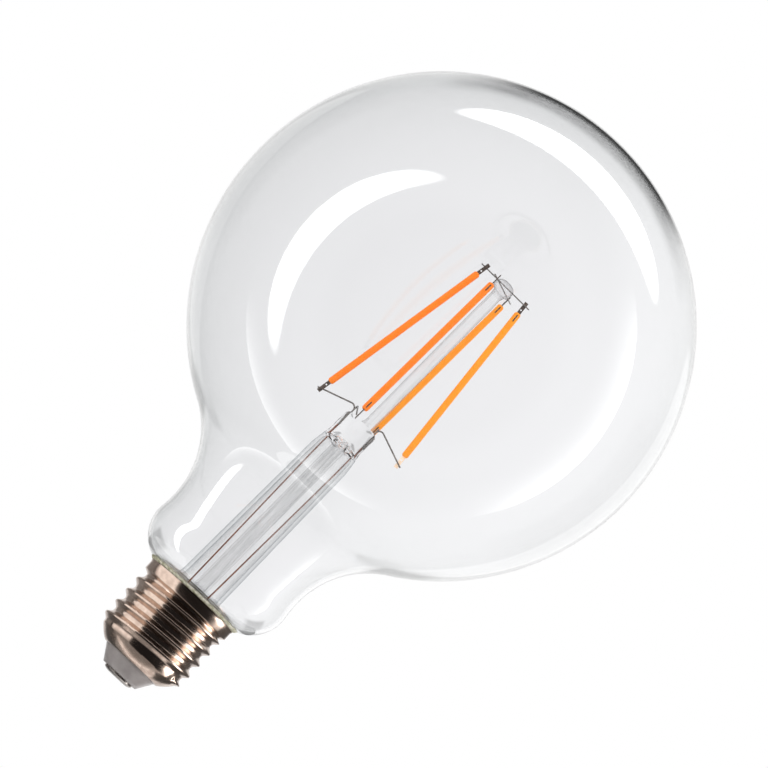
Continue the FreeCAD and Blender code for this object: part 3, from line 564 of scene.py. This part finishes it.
def makePost():
    s = postSizes
    foot = [(0, s["bottom"])] + [
        (s["radius"] + out, s["bottom"] + rise) for out, rise in s["foot"]]
    rodStart = (s["radius"], s["bottom"] + s["footTop"])
    rodEnd = (s["radius"], s["buttonBottom"] - s["softZone"])
    rod = [rodStart] + straight(rodStart, rodEnd, 12)
    middle = (s["buttonBottom"] + s["buttonTop"]) / 2
    half = (s["buttonTop"] - s["buttonBottom"]) / 2
    button = [(s["button"] * math.cos(angle) ** s["bulge"], middle + half * math.sin(angle))
              for angle in map(math.radians, range(-60, 90, 10))] + [(0, s["buttonTop"])]
    mesh = turned(foot + rod + button, s["turns"], "post", pressButton)
    place(mesh, "supportPostGlass", "post", "support_post")
    mesh.materials.append(finishes["button"])
    for face in mesh.polygons:
        if face.center.z > s["meltedAbove"] * mm:
            face.material_index = 1


# under and over are the bead's outline between collar and reach: radius, and height above its
# bottom, as startRise, creep and endRise are; outside the firm radius it is ragged, by lumps of
# (roughly how many to a turn, and their weight)
cementSizes = {"collar": 12.2, "bottom": 26.8, "reach": 13.95, "firm": 13.0, "ragged": 0.45,
               "startRise": 0.02,
               "under": ((12.9, 0.02), (13.05, 0.08), (13.25, 0.25), (13.5, 0.35)),
               "creep": 0.8, "over": ((13.4, 0.62), (12.9, 0.48), (12.45, 0.35)), "endRise": 0.15,
               "lumps": ((7, 1.0), (23, 0.6), (61, 0.4)), "least": 13.02, "onGlass": 0.9,
               "seat": 10.38, "gap": 0.03, "turns": 240}


def crumble(point):
    # the squeezed-out edge creeps up the glass more in some places than in others
    s = cementSizes
    radius = math.hypot(point.x, point.y) / mm
    share = min(max((radius - s["firm"]) / (s["reach"] - s["firm"]), 0), 1)
    angle = math.atan2(point.y, point.x)
    around = Vector((math.cos(angle), math.sin(angle), 0.3))
    lump = sum(weight * noise.noise(around * count) for count, weight in s["lumps"])
    reach = s["firm"] + (s["reach"] - s["firm"]) * share + share * s["ragged"] * lump
    if share > 0:
        scale = max(reach, s["least"]) / radius
        point.x *= scale
        point.y *= scale
    if share > s["onGlass"]:
        # this edge lies on the glass, whose shoulder is an arc about the seat radius
        out = max(reach, radius) - s["seat"]
        glass = globeSizes["shoulderHeight"] - math.sqrt(globeSizes["shoulder"] ** 2 - out ** 2)
        point.z = (glass - s["gap"]) * mm
    return point


def makeCement():
    s = cementSizes
    outline = [(s["collar"], s["startRise"]), *s["under"], (s["reach"], s["creep"]),
               *s["over"], (s["collar"], s["endRise"])]
    profile = [(radius, s["bottom"] + rise) for radius, rise in outline]
    mesh = turned(profile, s["turns"], "cement", crumble)
    place(mesh, "cementBead", "cement", "cement_ring")


markSizes = {"radius": 0.17, "bend": 0.1, "start": 0.55, "length": 2.0, "coat": 0.87,
             "sunk": 0.02, "endSlice": 0.3}


def makeTabTip(coat, end):
    # the tab's point shows dark through the end of its coat, on the side towards the front
    s = markSizes
    points = [vert.co.copy() for vert in nodes[f"filament_{coat}"].data.vertices]
    low = min(point.z for point in points) + s["endSlice"] * mm
    high = max(point.z for point in points) - s["endSlice"] * mm
    feet = [point for point in points if point.z < low]
    heads = [point for point in points if point.z > high]
    foot = sum(feet, Vector()) / len(feet)
    head = sum(heads, Vector()) / len(heads)
    along = (head - foot).normalized() * (1 if end == "lower" else -1)
    front = Vector((0, s["sunk"] - s["coat"], 0)) * mm
    corner = (foot if end == "lower" else head) + front
    line = [corner / mm + along * far for far in (s["start"], s["start"] + s["length"])]
    mesh = grow(trees["wire"], line, [(0, 1)],
                {"Radius": s["radius"] * mm, "Bend": s["bend"] * mm}, "tab")
    place(mesh, f"tabTip_{coat}_{end}", "tab", None)


makeGlobe()
makeStem()
makeExhaustTube()
makePost()
makeCement()
print("glass made")

# the spot where the thread runs out, in mm, whose sharp facets would turn black
threadEnd = {"spot": (9.9, -5.9, 9.1), "reach": 2.0, "rounds": 8}
smoothCopy("cap_shell", "screwShell", "shell", 40, threadEnd)
smoothCopy("cap_insulator", "insulatorBody", "insulator")
smoothCopy("centre_contact", "contactDisc", "contact", 25)
for end in ("left", "right"):
    smoothCopy(f"outer_lead_{end}", f"outerLead_{end}", "copper")
    smoothCopy(f"inner_lead_{end}", f"innerLead_{end}", "nickelWire")
for end in ("front", "back"):
    smoothCopy(f"branch_wire_{end}", f"branchWire_{end}", "nickelWire")
for end in ("side", "front"):
    smoothCopy(f"cross_wire_{end}", f"crossWire_{end}", "nickelWire")
# the paler coats on the back and right are painted light
coatFinishes = {"left": "phosphor", "front": "phosphor", "back": "paintedLitPhosphor",
                "right": "paintedLitPhosphor"}
for end, finish in coatFinishes.items():
    coat = smoothCopy(f"filament_{end}", f"filamentCoat_{end}", finish)
    coat.visible_glossy = False  # the globe's far wall would mirror pale doubles of the filaments
for coat, end in (("back", "upper"), ("back", "lower"), ("front", "upper"), ("front", "lower"),
                  ("right", "upper")):
    makeTabTip(coat, end)
print("cap, wires and filaments dressed")

dressedNodes = {"driver_board": "board", "capacitor": "can", "rectifier": "resin",
                "driver_chip": "resin", "fuse_resistor": "resistor", "shell_wire": "copper"}
for end in coatFinishes:
    dressedNodes[f"filament_core_{end}"] = "strip"
    dressedNodes[f"upper_tab_{end}"] = "tab"
    dressedNodes[f"lower_tab_{end}"] = "tab"
# the lower right tab is painted pale and glowing as a painted highlight
dressedNodes["lower_tab_right"] = "paintedGlintTab"
for nodeName, finish in dressedNodes.items():
    for materialSlot in nodes[nodeName].material_slots:
        materialSlot.material = finishes[finish]
print("inner parts dressed")


viewSizes = {"distance": 850.0, "elevation": -8.0, "aimHeight": 96.67, "aimSide": -0.76,
             "axisAngle": 47.2, "halfFrame": 93.96}
# the line of sight seen from the object, and the directions up and right across it
tilt = math.radians(viewSizes["elevation"])
sight = Vector((0, -math.cos(tilt), math.sin(tilt)))
upright = Vector((0, math.sin(tilt), math.cos(tilt)))
across = Vector((1, 0, 0))


def makeCamera():
    # looks up a little at the cap, rolled so that the bulb's axis points up to the right
    s = viewSizes
    aim = Vector((s["aimSide"], 0, s["aimHeight"])) * mm
    roll = math.radians(s["axisAngle"])
    right = upright * math.cos(roll) + across * math.sin(roll)
    up = upright * math.sin(roll) - across * math.cos(roll)
    data = bpy.data.cameras.new("studioCamera")
    data.sensor_fit = "HORIZONTAL"
    data.angle = 2 * math.atan(s["halfFrame"] / s["distance"])
    data.clip_start = 10 * mm
    camera = bpy.data.objects.new("studioCamera", data)
    turn = Matrix((right, up, sight)).transposed().to_4x4()
    camera.matrix_world = Matrix.Translation(aim + sight * s["distance"] * mm) @ turn
    bpy.context.scene.collection.objects.link(camera)
    bpy.context.scene.camera = camera


# soft boxes as the globe mirrors them, in degrees: angle from the line of sight and turn round
# it, from the right over the top; a fade above 0 leaves only the outer rim bright
boxSizes = {
    "leftKey": {"angle": 74.5, "half": 7.8, "turn": 182, "span": 52, "skew": 0.13, "fade": 0,
                "strength": 8.0},
    "topKey": {"angle": 110.5, "half": 10.0, "turn": 89, "span": 41, "skew": 0.0, "fade": 0,
               "strength": 8.0},
    "rightEdge": {"angle": 85, "half": 11.5, "turn": 8, "span": 50, "skew": 0.0, "fade": 2.5,
                  "strength": 6.0},
    "rightSheen": {"angle": 148, "half": 12.5, "turn": 352, "span": 50, "skew": 0.0, "fade": 0,
                   "strength": 0.4},
    "leftSheen": {"angle": 148, "half": 12.5, "turn": 192, "span": 46, "skew": 0.0, "fade": 0,
                  "strength": 0.3},
    "lowEdge": {"angle": 91, "half": 7.0, "turn": 254, "span": 46, "skew": 0.0, "fade": 2.5,
                "strength": 3.5},
}
# dim patches of the room behind the object, which draw dark lines in the glass rim; near and far
# are degrees from straight behind, depth is how much of the light they take
dimSizes = {
    "topRim": {"turn": 93, "span": 36, "near": 8.0, "far": 32, "depth": 0.95},
    "leftRim": {"turn": 172, "span": 34, "near": 15.0, "far": 60, "depth": 0.3},
    "lowLeftRim": {"turn": 240, "span": 15, "near": 8.0, "far": 34, "depth": 0.5},
    "lowRightRim": {"turn": 303, "span": 14, "near": 8.0, "far": 34, "depth": 0.5},
}
# dim patch of the top in what surfaces mirror
mirroredDim = {"turn": 91, "span": 30, "near": 17.0, "far": 40, "depth": 0.9}
# width of a dim patch's soft edges in degrees, and the share of its span where its ends start;
# shares of a soft box's size where its lens, its rim and its ends start to fade
patchEdges = {"near": 1.5, "far": 6.0, "ends": 0.5}
boxEdges = {"lens": 0.75, "rim": 0.9, "ends": 0.4}
# darkFade and frontFade are angles from the line of sight and paperFade from straight behind,
# between which one part of the room goes over into the next; wallFade and sideReach are shares of
# the way to the right
roomSizes = {"paper": "#FFFFFF", "dark": "#262526", "leftWall": "#55585A",
             "rightWall": "#FFFFFF", "wallFade": (-0.25, 0.5), "darkFade": (88, 118),
             "darkLean": 0.4, "paperFade": (45, 15), "frontFade": (68, 48), "frontDepth": 0.3,
             "sideReach": 0.07, "leftShare": 0.91, "rightShare": 1.06, "matteShare": 0.35}


def fadeOver(low, high, most=1.0):
    # settings for a soft rise from 0 at low to most at high
    return {"interpolation_type": "SMOOTHSTEP", "From Min": low, "From Max": high,
            "To Max": most}


def softBox(tree, direction, away, box):
    # a lens-shaped patch of light that tapers to both ends, or a strip with one bright rim
    turn = math.radians(box["turn"])
    middle = across * math.cos(turn) + upright * math.sin(turn)
    beside = upright * math.cos(turn) - across * math.sin(turn)
    onMiddle, onBeside = [addNode(tree, "ShaderNodeVectorMath", {
        "operation": "DOT_PRODUCT", 0: direction, 1: axis}).outputs["Value"]
        for axis in (middle, beside)]
    around = addNode(tree, "ShaderNodeMath", {
        "operation": "ARCTAN2", 0: onBeside, 1: onMiddle}).outputs[0]
    leaned = addNode(tree, "ShaderNodeMath", {
        "operation": "MULTIPLY_ADD", 0: around, 1: -box["skew"], 2: away}).outputs[0]
    # -1 and 1 at its inner and outer rim, and 0 to 1 from its middle to its ends
    wide = addNode(tree, "ShaderNodeMath", {
        "operation": "MULTIPLY_ADD", 0: leaned, 1: 1 / math.radians(box["half"]),
        2: -box["angle"] / box["half"]}).outputs[0]
    signed = addNode(tree, "ShaderNodeMath", {
        "operation": "DIVIDE", 0: around, 1: math.radians(box["span"])}).outputs[0]
    long = addNode(tree, "ShaderNodeMath", {"operation": "ABSOLUTE", 0: signed}).outputs[0]
    if box["fade"]:
        rise = addNode(tree, "ShaderNodeMath", {
            "operation": "MULTIPLY_ADD", "use_clamp": True, 0: wide, 1: 0.5, 2: 0.5}).outputs[0]
        glow = addNode(tree, "ShaderNodeMath", {
            "operation": "POWER", 0: rise, 1: box["fade"]}).outputs[0]
        rim = addNode(tree, "ShaderNodeMapRange", {**fadeOver(1.0, boxEdges["rim"]), "Value": wide})
        ends = addNode(tree, "ShaderNodeMapRange", {
            **fadeOver(1.0, boxEdges["ends"], box["strength"]), "Value": long})
        inside = addNode(tree, "ShaderNodeMath", {
            "operation": "MULTIPLY", 0: glow, 1: rim.outputs[0]}).outputs[0]
        return addNode(tree, "ShaderNodeMath", {
            "operation": "MULTIPLY", 0: inside, 1: ends.outputs[0]}).outputs[0]
    squared = addNode(tree, "ShaderNodeMath", {
        "operation": "MULTIPLY", 0: long, 1: long}).outputs[0]
    distance = addNode(tree, "ShaderNodeMath", {
        "operation": "MULTIPLY_ADD", 0: wide, 1: wide, 2: squared}).outputs[0]
    return addNode(tree, "ShaderNodeMapRange", {
        **fadeOver(1.0, boxEdges["lens"], box["strength"]), "Value": distance}).outputs[0]


def dimPatch(tree, behind, bearing, patch):
    # 1 outside the patch, down to 1 - depth inside it
    offset = addNode(tree, "ShaderNodeMath", {
        "operation": "SUBTRACT", 0: bearing, 1: math.radians(patch["turn"])}).outputs[0]
    wrapped = addNode(tree, "ShaderNodeMath", {
        "operation": "WRAP", 0: offset, 1: math.pi, 2: -math.pi}).outputs[0]
    turn = addNode(tree, "ShaderNodeMath", {"operation": "ABSOLUTE", 0: wrapped}).outputs[0]
    span = math.radians(patch["span"])
    near = math.radians(patch["near"])
    far = math.radians(patch["far"])
    ends = addNode(tree, "ShaderNodeMapRange", {
        **fadeOver(span, span * patchEdges["ends"], patch["depth"]), "Value": turn}).outputs[0]
    after = addNode(tree, "ShaderNodeMapRange", {
        **fadeOver(near, near + math.radians(patchEdges["near"])), "Value": behind}).outputs[0]
    before = addNode(tree, "ShaderNodeMapRange", {
        **fadeOver(far, far - math.radians(patchEdges["far"])), "Value": behind}).outputs[0]
    between = addNode(tree, "ShaderNodeMath", {
        "operation": "MULTIPLY", 0: after, 1: before}).outputs[0]
    taken = addNode(tree, "ShaderNodeMath", {
        "operation": "MULTIPLY", 0: ends, 1: between}).outputs[0]
    return addNode(tree, "ShaderNodeMath", {
        "operation": "SUBTRACT", 0: 1.0, 1: taken}).outputs[0]


def makeRoom():
    # a white paper behind the object, soft boxes round it and a dim room in front of it
    s = roomSizes
    world = bpy.data.worlds.new("studioRoom")
    bpy.context.scene.world = world
    world.use_nodes = True
    tree = world.node_tree
    tree.nodes.clear()
    direction = addNode(tree, "ShaderNodeTexCoord").outputs["Generated"]
    path = addNode(tree, "ShaderNodeLightPath").outputs
    frontward, upward, rightward = [addNode(tree, "ShaderNodeVectorMath", {
        "operation": "DOT_PRODUCT", 0: direction, 1: axis}).outputs["Value"]
        for axis in (sight, upright, across)]
    away = addNode(tree, "ShaderNodeMath", {"operation": "ARCCOSINE", 0: frontward}).outputs[0]
    behind = addNode(tree, "ShaderNodeMath", {
        "operation": "SUBTRACT", 0: math.pi, 1: away}).outputs[0]
    bearing = addNode(tree, "ShaderNodeMath", {
        "operation": "ARCTAN2", 0: upward, 1: rightward}).outputs[0]

    # what surfaces mirror: dark in front, a grey wall at the left, a white one at the right,
    # paper behind with a dim patch at the top
    leaned = addNode(tree, "ShaderNodeMath", {
        "operation": "MULTIPLY_ADD", 0: rightward, 1: s["darkLean"], 2: away}).outputs[0]
    wallShare, frontShare, paperShare = [addNode(tree, "ShaderNodeMapRange", {
        **fadeOver(*ends), "Value": source}).outputs[0] for source, ends in (
            (rightward, s["wallFade"]), (leaned, map(math.radians, s["darkFade"])),
            (behind, map(math.radians, s["paperFade"])))]
    wall = addNode(tree, "ShaderNodeMix", {
        "data_type": "RGBA", 0: wallShare, 6: linear(s["leftWall"]), 7: linear(s["rightWall"])})
    front = addNode(tree, "ShaderNodeMix", {
        "data_type": "RGBA", 0: frontShare, 6: linear(s["dark"]), 7: wall.outputs[2]})
    mirrored = addNode(tree, "ShaderNodeMix", {
        "data_type": "RGBA", 0: paperShare, 6: front.outputs[2], 7: linear(s["paper"])})
    mirrored = addNode(tree, "ShaderNodeVectorMath", {
        "operation": "SCALE", 0: mirrored.outputs[2],
        "Scale": dimPatch(tree, behind, bearing, mirroredDim)}).outputs[0]

    # what shows through the glass: paper all round, greyer only straight in front
    taken = addNode(tree, "ShaderNodeMapRange", {
        **fadeOver(*map(math.radians, s["frontFade"]), s["frontDepth"]), "Value": away})
    light = addNode(tree, "ShaderNodeMath", {
        "operation": "SUBTRACT", 0: 1.0, 1: taken.outputs[0]}).outputs[0]
    dims = [addNode(tree, "ShaderNodeMapRange", {
        "From Min": -s["sideReach"], "From Max": s["sideReach"], "To Min": s["leftShare"],
        "To Max": s["rightShare"], "Value": rightward}).outputs[0]]
    dims += [dimPatch(tree, behind, bearing, patch) for patch in dimSizes.values()]
    for dim in dims:
        light = addNode(tree, "ShaderNodeMath", {
            "operation": "MULTIPLY", 0: light, 1: dim}).outputs[0]
    through = addNode(tree, "ShaderNodeVectorMath", {
        "operation": "SCALE", 0: linear(s["paper"])[:3], "Scale": light}).outputs[0]
    room = addNode(tree, "ShaderNodeMix", {
        "data_type": "RGBA", 0: path["Is Transmission Ray"], 6: mirrored, 7: through})

    # the soft boxes are mirrored in full, light matt surfaces a little and don't show through
    boxes = 0.0
    for box in boxSizes.values():
        boxes = addNode(tree, "ShaderNodeMath", {
            "operation": "ADD", 0: softBox(tree, direction, away, box), 1: boxes}).outputs[0]
    matt = addNode(tree, "ShaderNodeMapRange", {
        "To Min": s["matteShare"], "Value": path["Is Glossy Ray"]}).outputs[0]
    solid = addNode(tree, "ShaderNodeMath", {
        "operation": "SUBTRACT", 0: 1.0, 1: path["Is Transmission Ray"]}).outputs[0]
    for share in (matt, solid):
        boxes = addNode(tree, "ShaderNodeMath", {
            "operation": "MULTIPLY", 0: boxes, 1: share}).outputs[0]
    lit = addNode(tree, "ShaderNodeVectorMath", {
        "operation": "ADD", 0: room.outputs[2], 1: boxes}).outputs[0]
    seen = addNode(tree, "ShaderNodeMix", {
        "data_type": "RGBA", 0: path["Is Camera Ray"], 6: lit, 7: linear(s["paper"])})
    background = addNode(tree, "ShaderNodeBackground", {"Color": seen.outputs[2]})
    addNode(tree, "ShaderNodeOutputWorld", {"Surface": background.outputs[0]})


floorSizes = {"height": -1.2, "half": 6.0, "glow": 0.93}  # in metres; glow as the camera sees it


def makeFloor():
    # pale paper that goes over into the white behind the object
    s = floorSizes
    half = s["half"]
    corners = ((-half, -half), (half, -half), (half, half), (-half, half))
    mesh = bpy.data.meshes.new("studioFloor")
    mesh.from_pydata([(x, y, s["height"]) for x, y in corners], [], [(0, 1, 2, 3)])
    floor = bpy.data.objects.new("studioFloor", mesh)
    bpy.context.scene.collection.objects.link(floor)
    material, tree, position = newMaterial("paleFloorPaper")
    tint = addNode(tree, "ShaderNodeMix", {
        "data_type": "RGBA", 0: patternNoise(tree, position, 40, 2), 6: linear("#FCFCFC"),
        7: linear("#F7F7F7")}).outputs[2]
    matte = addNode(tree, "ShaderNodeBsdfDiffuse", {"Color": tint})
    pale = addNode(tree, "ShaderNodeEmission", {"Color": tint})
    path = addNode(tree, "ShaderNodeLightPath").outputs
    share = addNode(tree, "ShaderNodeMath", {
        "operation": "MULTIPLY", 0: path["Is Camera Ray"], 1: s["glow"]})
    both = addNode(tree, "ShaderNodeMixShader", {
        0: share.outputs[0], 1: matte.outputs[0], 2: pale.outputs[0]})
    addNode(tree, "ShaderNodeOutputMaterial", {"Surface": both.outputs[0]})
    mesh.materials.append(material)
    floor.visible_glossy = False
    floor.visible_transmission = False


# curved cards close to the cap that only its metal mirrors; start and end are degrees round the
# axis from the front, to the left (side -1) or right (1)
cardSizes = {
    "warmCard": {"side": -1, "start": 27, "end": 79, "dim": 0.36, "bright": 1.5},
    "leftEdgeCard": {"side": -1, "start": 86, "end": 118, "dim": 0.12, "bright": 0.3},
    "darkCard": {"side": 1, "start": 78, "end": 122, "dim": 0.09, "bright": 0.12},
}
# their light is dim from bottom to fadeStart and bright from fadeEnd to top (mm)
cardShape = {"radius": 20, "bottom": -16, "top": 28.5, "fadeStart": 0, "fadeEnd": 9, "steps": 24}


def makeCard(name, s):
    shape = cardShape
    steps = shape["steps"]
    radius = shape["radius"] * mm
    mesh = bpy.data.meshes.new(name)
    points = []
    for step in range(steps + 1):
        angle = math.radians(s["start"] + (s["end"] - s["start"]) * step / steps)
        for height in (shape["bottom"], shape["top"]):
            points.append((s["side"] * radius * math.sin(angle), -radius * math.cos(angle),
                           height * mm))
    faces = [(2 * step, 2 * step + 1, 2 * step + 3, 2 * step + 2) for step in range(steps)]
    mesh.from_pydata(points, [], faces)
    material, tree, position = newMaterial(name)
    height = addNode(tree, "ShaderNodeSeparateXYZ", {0: position}).outputs["Z"]
    rise = addNode(tree, "ShaderNodeMapRange", {
        **fadeOver(shape["fadeStart"] * mm, shape["fadeEnd"] * mm), "Value": height})
    light = addNode(tree, "ShaderNodeMath", {
        "operation": "MULTIPLY_ADD", 0: rise.outputs[0], 1: s["bright"] - s["dim"], 2: s["dim"]})
    glow = addNode(tree, "ShaderNodeEmission", {"Strength": light.outputs[0]})
    addNode(tree, "ShaderNodeOutputMaterial", {"Surface": glow.outputs[0]})
    mesh.materials.append(material)
    card = bpy.data.objects.new(name, mesh)
    bpy.context.scene.collection.objects.link(card)
    for ray in ("camera", "diffuse", "transmission", "volume_scatter", "shadow"):
        setattr(card, f"visible_{ray}", False)


# angle from the line of sight and turn round it as seen from the target, in degrees; far and the
# card's sides in metres, the target's height in mm
lampSizes = {
    "frontFill": {"angle": 30, "turn": 120, "far": 1.25, "width": 0.8, "height": 0.8,
                  "power": 6.0, "target": 90, "onCap": False},
    "capRightCard": {"angle": 90, "turn": 4, "far": 0.5, "width": 0.3, "height": 0.4,
                     "power": 1.3, "target": 16, "onCap": True},
    "capLowCard": {"angle": 88, "turn": 268, "far": 0.4, "width": 0.7, "height": 0.5,
                   "power": 0.34, "target": 12, "onCap": True},
    "capHighCard": {"angle": 82, "turn": 90, "far": 0.5, "width": 0.8, "height": 0.3,
                    "power": 0.5, "target": 16, "onCap": True},
}
capPieces = ("screwShell", "insulatorBody", "contactDisc", "cementBead")


def makeLamp(name, s, capOnly):
    # a plain soft card of light, facing its target
    turn = math.radians(s["turn"])
    angle = math.radians(s["angle"])
    side = across * math.cos(turn) + upright * math.sin(turn)
    target = Vector((0, 0, s["target"] * mm))
    data = bpy.data.lights.new(name, "AREA")
    data.shape = "RECTANGLE"
    data.size = s["width"]
    data.size_y = s["height"]
    data.energy = s["power"]
    lamp = bpy.data.objects.new(name, data)
    lamp.location = target + s["far"] * (sight * math.cos(angle) + side * math.sin(angle))
    lamp.rotation_euler = (target - lamp.location).to_track_quat("-Z", "Y").to_euler()
    lamp.visible_camera = False
    lamp.visible_transmission = False
    lamp.visible_glossy = s["onCap"]
    bpy.context.scene.collection.objects.link(lamp)
    if s["onCap"]:
        lamp.light_linking.receiver_collection = capOnly


def makeLamps():
    capOnly = bpy.data.collections.new("capOnly")
    for name in capPieces:
        capOnly.objects.link(bpy.data.objects[name])
    for name, sizes in lampSizes.items():
        makeLamp(name, sizes, capOnly)


makeCamera()
makeRoom()
makeFloor()
makeLamps()
for name, sizes in cardSizes.items():
    makeCard(name, sizes)
bpy.context.scene.view_settings.view_transform = "Standard"
print("studio made")
